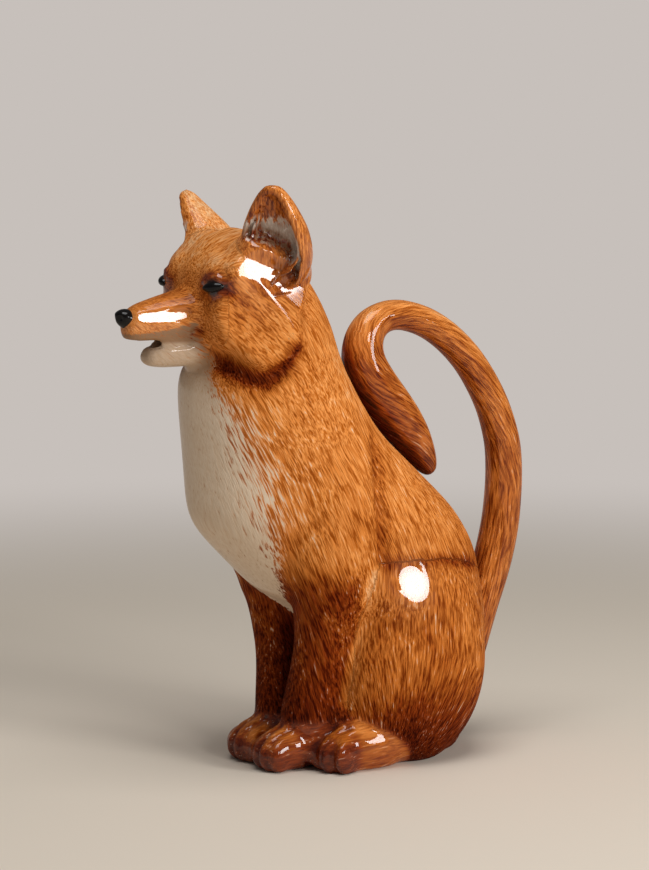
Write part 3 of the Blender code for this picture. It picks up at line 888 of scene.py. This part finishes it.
def layPaint(mesh):
    p, up = bothSides(readPlaces(mesh)), readNormals(mesh)[:, 2]
    y, z = p[:, 1], p[:, 2]
    legs = isPair("foreleg")
    cream, jaw = layCream(p, legs)
    inside = border(closed, "inside") * isPiece("torso", "head")
    bowl, tipward, bowlBottom, ears = earPaint(mesh)
    paws = softly(isPair("hind_foot") | (legs & (z < fur["pawTop"])), "limb")
    tail = softly(isPiece("tail_handle"), "seam")
    dark = layShades(p, cream)
    dark += tones["flankStrip"] * nearLine(p, paint["flankStrip"], paint["flankReach"]) * ~legs
    # recesses and creases darkened by how closed in each place is: painted shade, and glaze pooled
    # there
    dark += tones["hollow"] * border(closed, "hollow") * (1 - inside) * (1 - ears)
    # browner towards the ear's tip, and painted shade low in the ear's bowl
    dark += tones["earTip"] * tipward * bowl + tones["bowlBottom"] * bowlBottom
    tone = near.blurred(layTone(p, up, paws, tail, ears) + dark, blurs["tone"])
    polish = polishes["cream"] * cream + polishes["paws"] * paws + polishes["tail"] * tail
    polish += ears * (polishes["ears"] + polishes["leftEar"] * sideOf)
    calm = calms["paws"] * paws
    for point, reach in paint["polished"]:
        polish += polishes["places"] * nearPoint(p, point, reach)
        calm += calms["places"] * nearPoint(p, point, calms["reachShare"] * reach)
    polish *= 1 - polishes["mat"] * border(up, "matUp") * border(-y, "matAhead")
    # painted shadow under the jaw: on the front of the neck, and at half strength on the jaw
    throat = border(z, "throat") * (1 - jaw) + paint["jawShadowShare"] * jaw * border(z, "jawShade")
    return {"throat": np.clip(throat, 0, 1), "cream": cream, "inside": inside, "bowl": bowl,
            "tipward": tipward, "bowlBottom": bowlBottom, "tone": tone,
            "liner": nearPoint(p, *paint["eyePlace"]), "smoothness": np.clip(calm, 0, 1),
            "polish": np.clip(near.blurred(polish, blurs["polish"]), 0, 1)}


paintShares = layPaint(skin)
print("jug: paint is laid")


def storeValues(mesh):
    vectors = {name: values * mm for name, values in furWays.items()}
    vectors["skinNormal"] = readNormals(mesh)
    shares = {**furShares, **paintShares}
    for kind, key, layers in (("FLOAT_VECTOR", "vector", vectors), ("FLOAT", "value", shares)):
        for name, values in layers.items():
            layer = mesh.attributes.new(name, kind, "POINT")
            layer.data.foreach_set(key, values.ravel())


storeValues(skin)

# Glaze: brush strokes over the body colour, under a clear gloss

glaze = {
    "lightStrokes": ((0.0, sRgb(246, 205, 156)), (0.25, sRgb(244, 162, 88)),
                     (0.45, sRgb(220, 132, 58)), (0.62, sRgb(186, 100, 34)),
                     (0.80, sRgb(144, 60, 15)), (1.0, sRgb(96, 30, 6))),
    "darkStrokes": ((0.0, sRgb(212, 150, 92)), (0.25, sRgb(196, 104, 26)),
                    (0.45, sRgb(150, 72, 12)), (0.62, sRgb(112, 42, 3)),
                    (0.80, sRgb(80, 20, 1)), (1.0, sRgb(42, 6, 1))),
    "bib": sRgb(226, 204, 178),
    "bibShade": sRgb(206, 172, 134),
    # colour of the painted shadow under the jaw
    "throat": sRgb(150, 112, 78),
    "bowlGrey": sRgb(206, 192, 178),
    # darker colour of the ear's bowl, in its stroke lines and as painted shade low in the bowl
    "bowlShade": sRgb(150, 110, 80),
    "insideCream": sRgb(190, 168, 142),
    "liner": sRgb(34, 8, 3),
    "fine": (0.95 * mm, 10 * mm, 0.15),  # width, length and wander of the strokes
    "middle": (1.9 * mm, 9 * mm, 0.3),
    "broad": (6 * mm, 20 * mm, 0.5),
    "bump": {"Strength": 0.7, "Distance": 0.35 * mm},
    "gloss": {"Coat_Roughness": 0.03, "Coat_IOR": 1.6, "IOR": 1.09},
    "ridge": (0.38, 0.62),  # where each layer of strokes turns from groove to ridge
    "patch": (0.42, 0.58),
    "wash": (0.35, 0.65),
    "cloud": {"Scale": 34.0, "Detail": 3.0},
    "speck": {"Scale": 900.0, "Detail": 2.0},
    "toneShifts": (0.36, -0.10, -0.08),  # by cloud, wash and patch
    "bibShifts": (0.20, 0.16, 1.7),  # by patch, wash and fine strokes
    "bibStep": (0.28, 0.72),
    "bowlStep": (0.25, 0.75),
    "linerStep": (0.45, 0.75),
    "patchLines": -0.3,  # what a patch adds to the strength of the dark strokes
    "bibLines": (0.30, 0.15),  # share of the shade in strokes and in patches
    "bowlLines": 0.25,
    # how much of the bowl's grey gives way where the shade low in the bowl is painted
    "bowlLow": 0.6,
    "bowlPatch": 0.5,
    "bibRelief": 0.7,
    "reliefs": (0.25, 0.05),  # of patches and specks, where a stroke has 1
    "speckPolish": 0.02,
    "roughness": (0.62, -0.08),  # in a groove, and what a ridge adds
}


def newGroup(name, inputs, outputs):
    group = bpy.data.node_groups.new(name, "ShaderNodeTree")
    for label, kind, value in inputs:
        socket = group.interface.new_socket(label, in_out="INPUT", socket_type=kind)
        socket.default_value = value
    for label, kind in outputs:
        group.interface.new_socket(label, in_out="OUTPUT", socket_type=kind)
    return group, group.nodes.new("NodeGroupInput"), group.nodes.new("NodeGroupOutput")


def attribute(tree, name, vector=False):
    node = addNode(tree, "ShaderNodeAttribute", {"attribute_name": name})
    return node.outputs["Vector" if vector else "Fac"]


def strokesGroup():
    number = "NodeSocketFloat"
    inputs = (("Width", number, 0.001), ("Length", number, 0.01), ("Wander", number, 0.4))
    group, given, made = newGroup("brushStrokes", inputs, (("Stroke", number),))
    width, length = given.outputs["Width"], given.outputs["Length"]
    size = addNode(group, "ShaderNodeCombineXYZ", X=width, Y=width, Z=length).outputs[0]
    fields = []
    for name in ("furBody", "furHead", "furLimb"):
        scaled = addNode(group, "ShaderNodeVectorMath", {"operation": "DIVIDE"},
                         n0=attribute(group, name, vector=True), n1=size).outputs[0]
        field = addNode(group, "ShaderNodeTexNoise", Vector=scaled, Scale=1.0, Detail=2.0,
                        Roughness=0.5, Distortion=given.outputs["Wander"])
        fields.append(field.outputs[0])
    onHead, onLimb = attribute(group, "onHead"), attribute(group, "onLimb")

    def blend(share, first, second):
        gap = mathNode(group, "SUBTRACT", second, first)
        return mathNode(group, "MULTIPLY_ADD", gap, share, first)

    field = blend(onLimb, blend(onHead, fields[0], fields[1]), fields[2])
    group.links.new(field, made.inputs["Stroke"])
    return group


def colourRamp(tree, value, stops):
    node = addNode(tree, "ShaderNodeValToRGB", Fac=value)
    elements = node.color_ramp.elements
    while len(elements) < len(stops):
        elements.new(0.5)
    for element, (place, colour) in zip(elements, stops):
        element.position = place
        element.color = (*colour, 1)
    return node.outputs[0]


def paintGroup():
    # Colour and relief from the strokes and the stored shares
    number, colour = "NodeSocketFloat", "NodeSocketColor"
    inputs = [(name, number, 0.5) for name in ("Fine", "Middle", "Broad")]
    outputs = (("Color", colour), ("Height", number), ("Roughness", number), ("Polish", number))
    group, given, made = newGroup("furPaint", inputs, outputs)

    def step(value, low, high):
        return smoothStep(group, value, low, high)

    def times(first, second):
        return mathNode(group, "MULTIPLY", first, second)

    def added(value, factor, rest):
        return mathNode(group, "MULTIPLY_ADD", value, factor, rest)

    def less(value):
        return mathNode(group, "SUBTRACT", value, 0.5)

    def flipped(value):
        return mathNode(group, "SUBTRACT", 1.0, value)

    # 0 in a groove, 1 on the ridge between two grooves
    ridge = step(given.outputs["Fine"], *glaze["ridge"])
    patch = step(given.outputs["Middle"], *glaze["patch"])
    wash = step(given.outputs["Broad"], *glaze["wash"])
    place = group.nodes.new("ShaderNodeTexCoord").outputs["Object"]
    cloud, speck = (addNode(group, "ShaderNodeTexNoise", Vector=place, **glaze[name])
                    .outputs[0] for name in ("cloud", "speck"))
    tone = attribute(group, "tone")
    for value, shift in zip((cloud, wash, patch), glaze["toneShifts"]):
        tone = added(less(value), shift, tone)
    calm = flipped(attribute(group, "smoothness"))
    line = times(flipped(ridge), times(calm, added(patch, glaze["patchLines"], 1.0)))
    body = mixColours(group, line, colourRamp(group, tone, glaze["lightStrokes"]),
                      colourRamp(group, tone, glaze["darkStrokes"]))
    ragged = attribute(group, "cream")
    for value, shift in zip((patch, wash, given.outputs["Fine"]), glaze["bibShifts"]):
        ragged = added(less(value), shift, ragged)
    share = step(ragged, *glaze["bibStep"])
    inLines, inPatches = glaze["bibLines"]
    bibShare = added(flipped(ridge), inLines, times(flipped(patch), inPatches))
    bib = mixColours(group, bibShare, glaze["bib"], glaze["bibShade"])
    # the cream is darkened where the shadow under the jaw is painted
    bib = mixColours(group, attribute(group, "throat"), bib, glaze["throat"])
    body = mixColours(group, share, body, bib)
    # painted shade low in the ear's bowl: a darker grey, and less of the grey
    bottom = attribute(group, "bowlBottom")
    greyShare = added(flipped(ridge), glaze["bowlLines"], bottom)
    grey = mixColours(group, greyShare, glaze["bowlGrey"], glaze["bowlShade"])
    bowl = times(flipped(attribute(group, "tipward")), flipped(times(bottom, glaze["bowlLow"])))
    bowl = added(less(patch), glaze["bowlPatch"], times(attribute(group, "bowl"), bowl))
    body = mixColours(group, step(bowl, *glaze["bowlStep"]), body, grey)
    liner = step(attribute(group, "liner"), *glaze["linerStep"])
    body = mixColours(group, liner, body, glaze["liner"])
    inside = attribute(group, "inside")
    body = mixColours(group, inside, body, glaze["insideCream"])
    group.links.new(body, made.inputs["Color"])
    plain = mathNode(group, "MAXIMUM", times(share, glaze["bibRelief"]), inside)
    relief = times(times(flipped(plain), calm), ridge)
    for value, height in zip((patch, speck), glaze["reliefs"]):
        relief = added(value, height, relief)
    group.links.new(relief, made.inputs["Height"])
    groove, onRidge = glaze["roughness"]
    group.links.new(added(ridge, onRidge, groove), made.inputs["Roughness"])
    polish = added(less(speck), glaze["speckPolish"], attribute(group, "polish"))
    group.links.new(polish, made.inputs["Polish"])
    return group


def foxGlaze(name, strokes, furPaint):
    material, tree = newMaterial(name)
    look = addNode(tree, "ShaderNodeGroup", {"node_tree": furPaint})
    for layer in ("fine", "middle", "broad"):
        width, length, wander = glaze[layer]
        node = addNode(tree, "ShaderNodeGroup", {"node_tree": strokes}, Width=width, Length=length,
                       Wander=wander)
        tree.links.new(node.outputs["Stroke"], look.inputs[layer.capitalize()])
    relief = addNode(tree, "ShaderNodeBump", Height=look.outputs["Height"], **glaze["bump"])
    shader = addNode(tree, "ShaderNodeBsdfPrincipled", Base_Color=look.outputs["Color"],
                     Roughness=look.outputs["Roughness"], Normal=relief.outputs[0],
                     Coat_Weight=look.outputs["Polish"], **glaze["gloss"])
    addNode(tree, "ShaderNodeOutputMaterial", Surface=shader.outputs[0])
    return material


blackLook = {
    "tints": ((0.005, 0.003, 0.0025), (0.0018, 0.0013, 0.0012)),
    "cloud": {"Scale": 400.0, "Detail": 2.0},
    "bump": {"Strength": 0.15, "Distance": 0.1 * mm},
    "roughness": (0.12, 0.3),  # what the cloud adds, and without it
    "gloss": {"Coat_Weight": 0.45, "Coat_Roughness": 0.02, "IOR": 1.12},
}


def blackGlaze():
    material, tree = newMaterial("blackGlaze")
    look = blackLook
    place = tree.nodes.new("ShaderNodeTexCoord").outputs["Object"]
    cloud = addNode(tree, "ShaderNodeTexNoise", Vector=place, **look["cloud"]).outputs[0]
    relief = addNode(tree, "ShaderNodeBump", Height=cloud, **look["bump"]).outputs[0]
    tint = mixColours(tree, cloud, *look["tints"])
    roughness = mathNode(tree, "MULTIPLY_ADD", cloud, *look["roughness"])
    shader = addNode(tree, "ShaderNodeBsdfPrincipled", Base_Color=tint, Normal=relief,
                     Roughness=roughness, **look["gloss"])
    addNode(tree, "ShaderNodeOutputMaterial", Surface=shader.outputs[0])
    return material


strokes, furPaint = strokesGroup(), paintGroup()
orangeGlaze = foxGlaze("orangeGlaze", strokes, furPaint)
brownGlaze = foxGlaze("brownGlaze", strokes, furPaint)
black = blackGlaze()
print("jug: glazes are mixed")

# The skin is parted into the pieces that stand for the CAD nodes

brownPieces = ("foreleg_left", "foreleg_right", "hind_foot_left", "hind_foot_right")
parted = [name for name in pieceNames if not name.startswith("eye")]
parted += ["torso_haunches", "torso_inside"]  # the torso's skin is too fine for one piece
haunchTop = 107 * mm


def partSkin(mesh):
    starts = readAll(mesh.polygons, "loop_start", 1, int)[:, 0]
    firsts = readAll(mesh.loops, "vertex_index", 1, int)[starts, 0]
    faceOf = owner[firsts]
    headNumber = pieceNames.index("head")
    for name in ("eye_left", "eye_right"):
        faceOf[faceOf == pieceNames.index(name)] = headNumber
    slots = np.array([parted.index(name) if name in parted else 0 for name in pieceNames])[faceOf]
    inTorso = faceOf == pieceNames.index("torso")
    inside = closed[firsts] > insideFrom
    low = readPlaces(mesh)[firsts, 2] < haunchTop
    slots[inTorso & ~inside & low] = parted.index("torso_haunches")
    slots[inTorso & inside] = parted.index("torso_inside")
    for name in parted:
        mesh.materials.append(bpy.data.materials.new("part_" + name))
    mesh.polygons.foreach_set("material_index", slots.astype(np.int32))
    whole = bpy.data.objects.new("jug", mesh)
    bpy.context.scene.collection.objects.link(whole)
    bpy.context.view_layer.objects.active = whole
    whole.select_set(True)
    before = set(bpy.data.objects)
    bpy.ops.object.mode_set(mode="EDIT")
    bpy.ops.mesh.select_all(action="SELECT")
    bpy.ops.mesh.separate(type="MATERIAL")
    bpy.ops.object.mode_set(mode="OBJECT")
    pieces = [whole] + [o for o in bpy.data.objects if o not in before]
    for piece in pieces:
        data = piece.data
        used = data.polygons[0].material_index if len(data.materials) > 1 else 0
        name = data.materials[used].name.removeprefix("part_")
        data.materials.clear()
        data.materials.append(brownGlaze if name in brownPieces else orangeGlaze)
        data.polygons.foreach_set("material_index", np.zeros(len(data.polygons), np.int32))
        data.polygons.foreach_set("use_smooth", np.ones(len(data.polygons), bool))
        normals = readAll(data.attributes["skinNormal"].data, "vector")
        data.normals_split_custom_set_from_vertices(normals)
        data.attributes.remove(data.attributes["skinNormal"])
        piece.name = name + "_glazed"
        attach(piece, "root")
        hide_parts("torso" if name.startswith("torso") else name)
        print("jug:", name, "has", len(data.polygons), "faces")
    for name in parted:
        bpy.data.materials.remove(bpy.data.materials["part_" + name])


partSkin(skin)
print("jug: skin is parted into", len(parted), "pieces")

# Eyes and nose

beads = {
    "fineness": 5,
    "eye": {"centre": (25.3, -94.5, 248.6), "length": 12.0, "height": 5.6, "dome": 3.4,
            "taper": 0.12, "turn": 40, "tilt": -7},
    "nose": {"centre": (0, -130.6, 232.3), "size": (11.6, 12, 10.8), "low": 0.3, "narrow": 0.35,
             "lean": 0.35, "nostril": (3.0, -135.0, 233.2), "nostrilReach": 1.5,
             "nostrilDepth": 1.2},
}


def finishBead(name, shape, node):
    bead = bpy.data.objects.new(name, bpy.data.meshes.new(name))
    shape.to_mesh(bead.data)
    shape.free()
    bpy.context.scene.collection.objects.link(bead)
    bead.data.polygons.foreach_set("use_smooth", np.ones(len(bead.data.polygons), bool))
    bead.data.materials.append(black)
    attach(bead, "root")
    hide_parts(node)


def eyeBead(side):
    # An almond-shaped dome, pointed at both corners
    look = beads["eye"]
    shape = bmesh.new()
    bmesh.ops.create_icosphere(shape, subdivisions=beads["fineness"], radius=1)
    for vert in shape.verts:
        vert.co.z *= 1 - look["taper"] * vert.co.x ** 2
    bmesh.ops.scale(shape, verts=shape.verts,
                    vec=Vector((look["length"] / 2, look["dome"], look["height"] / 2)) * mm)
    turn = Matrix.Rotation(math.radians(look["turn"]), 3, "Z")
    tilt = Matrix.Rotation(math.radians(look["tilt"]), 3, "Y")
    bmesh.ops.rotate(shape, verts=shape.verts, matrix=turn @ tilt)
    bmesh.ops.translate(shape, verts=shape.verts, vec=Vector(look["centre"]) * mm)
    if side == "right":
        bmesh.ops.scale(shape, verts=shape.verts, vec=(-1, 1, 1))
        bmesh.ops.recalc_face_normals(shape, faces=shape.faces)
    finishBead("eye_" + side + "_bead", shape, "eye_" + side)


def noseBead():
    # Broad and flat on top, narrow and drawn back below, with two nostrils
    look = beads["nose"]
    shape = bmesh.new()
    bmesh.ops.create_icosphere(shape, subdivisions=beads["fineness"], radius=0.5)
    for vert in shape.verts:
        low = max(0, look["low"] - vert.co.z)
        vert.co.x *= 1 - look["narrow"] * 2 * low * low
        vert.co.y += look["lean"] * low
    bmesh.ops.scale(shape, verts=shape.verts, vec=Vector(look["size"]) * mm)
    bmesh.ops.translate(shape, verts=shape.verts, vec=Vector(look["centre"]) * mm)
    for vert in shape.verts:
        folded = Vector((abs(vert.co.x), vert.co.y, vert.co.z)) / mm
        gap = (folded - Vector(look["nostril"])).length / look["nostrilReach"]
        vert.co += Vector((0, look["nostrilDepth"] * mm * math.exp(-gap * gap), 0))
    finishBead("nose_bead", shape, "nose")


eyeBead("left")
eyeBead("right")
noseBead()
print("jug: eyes and nose are set")
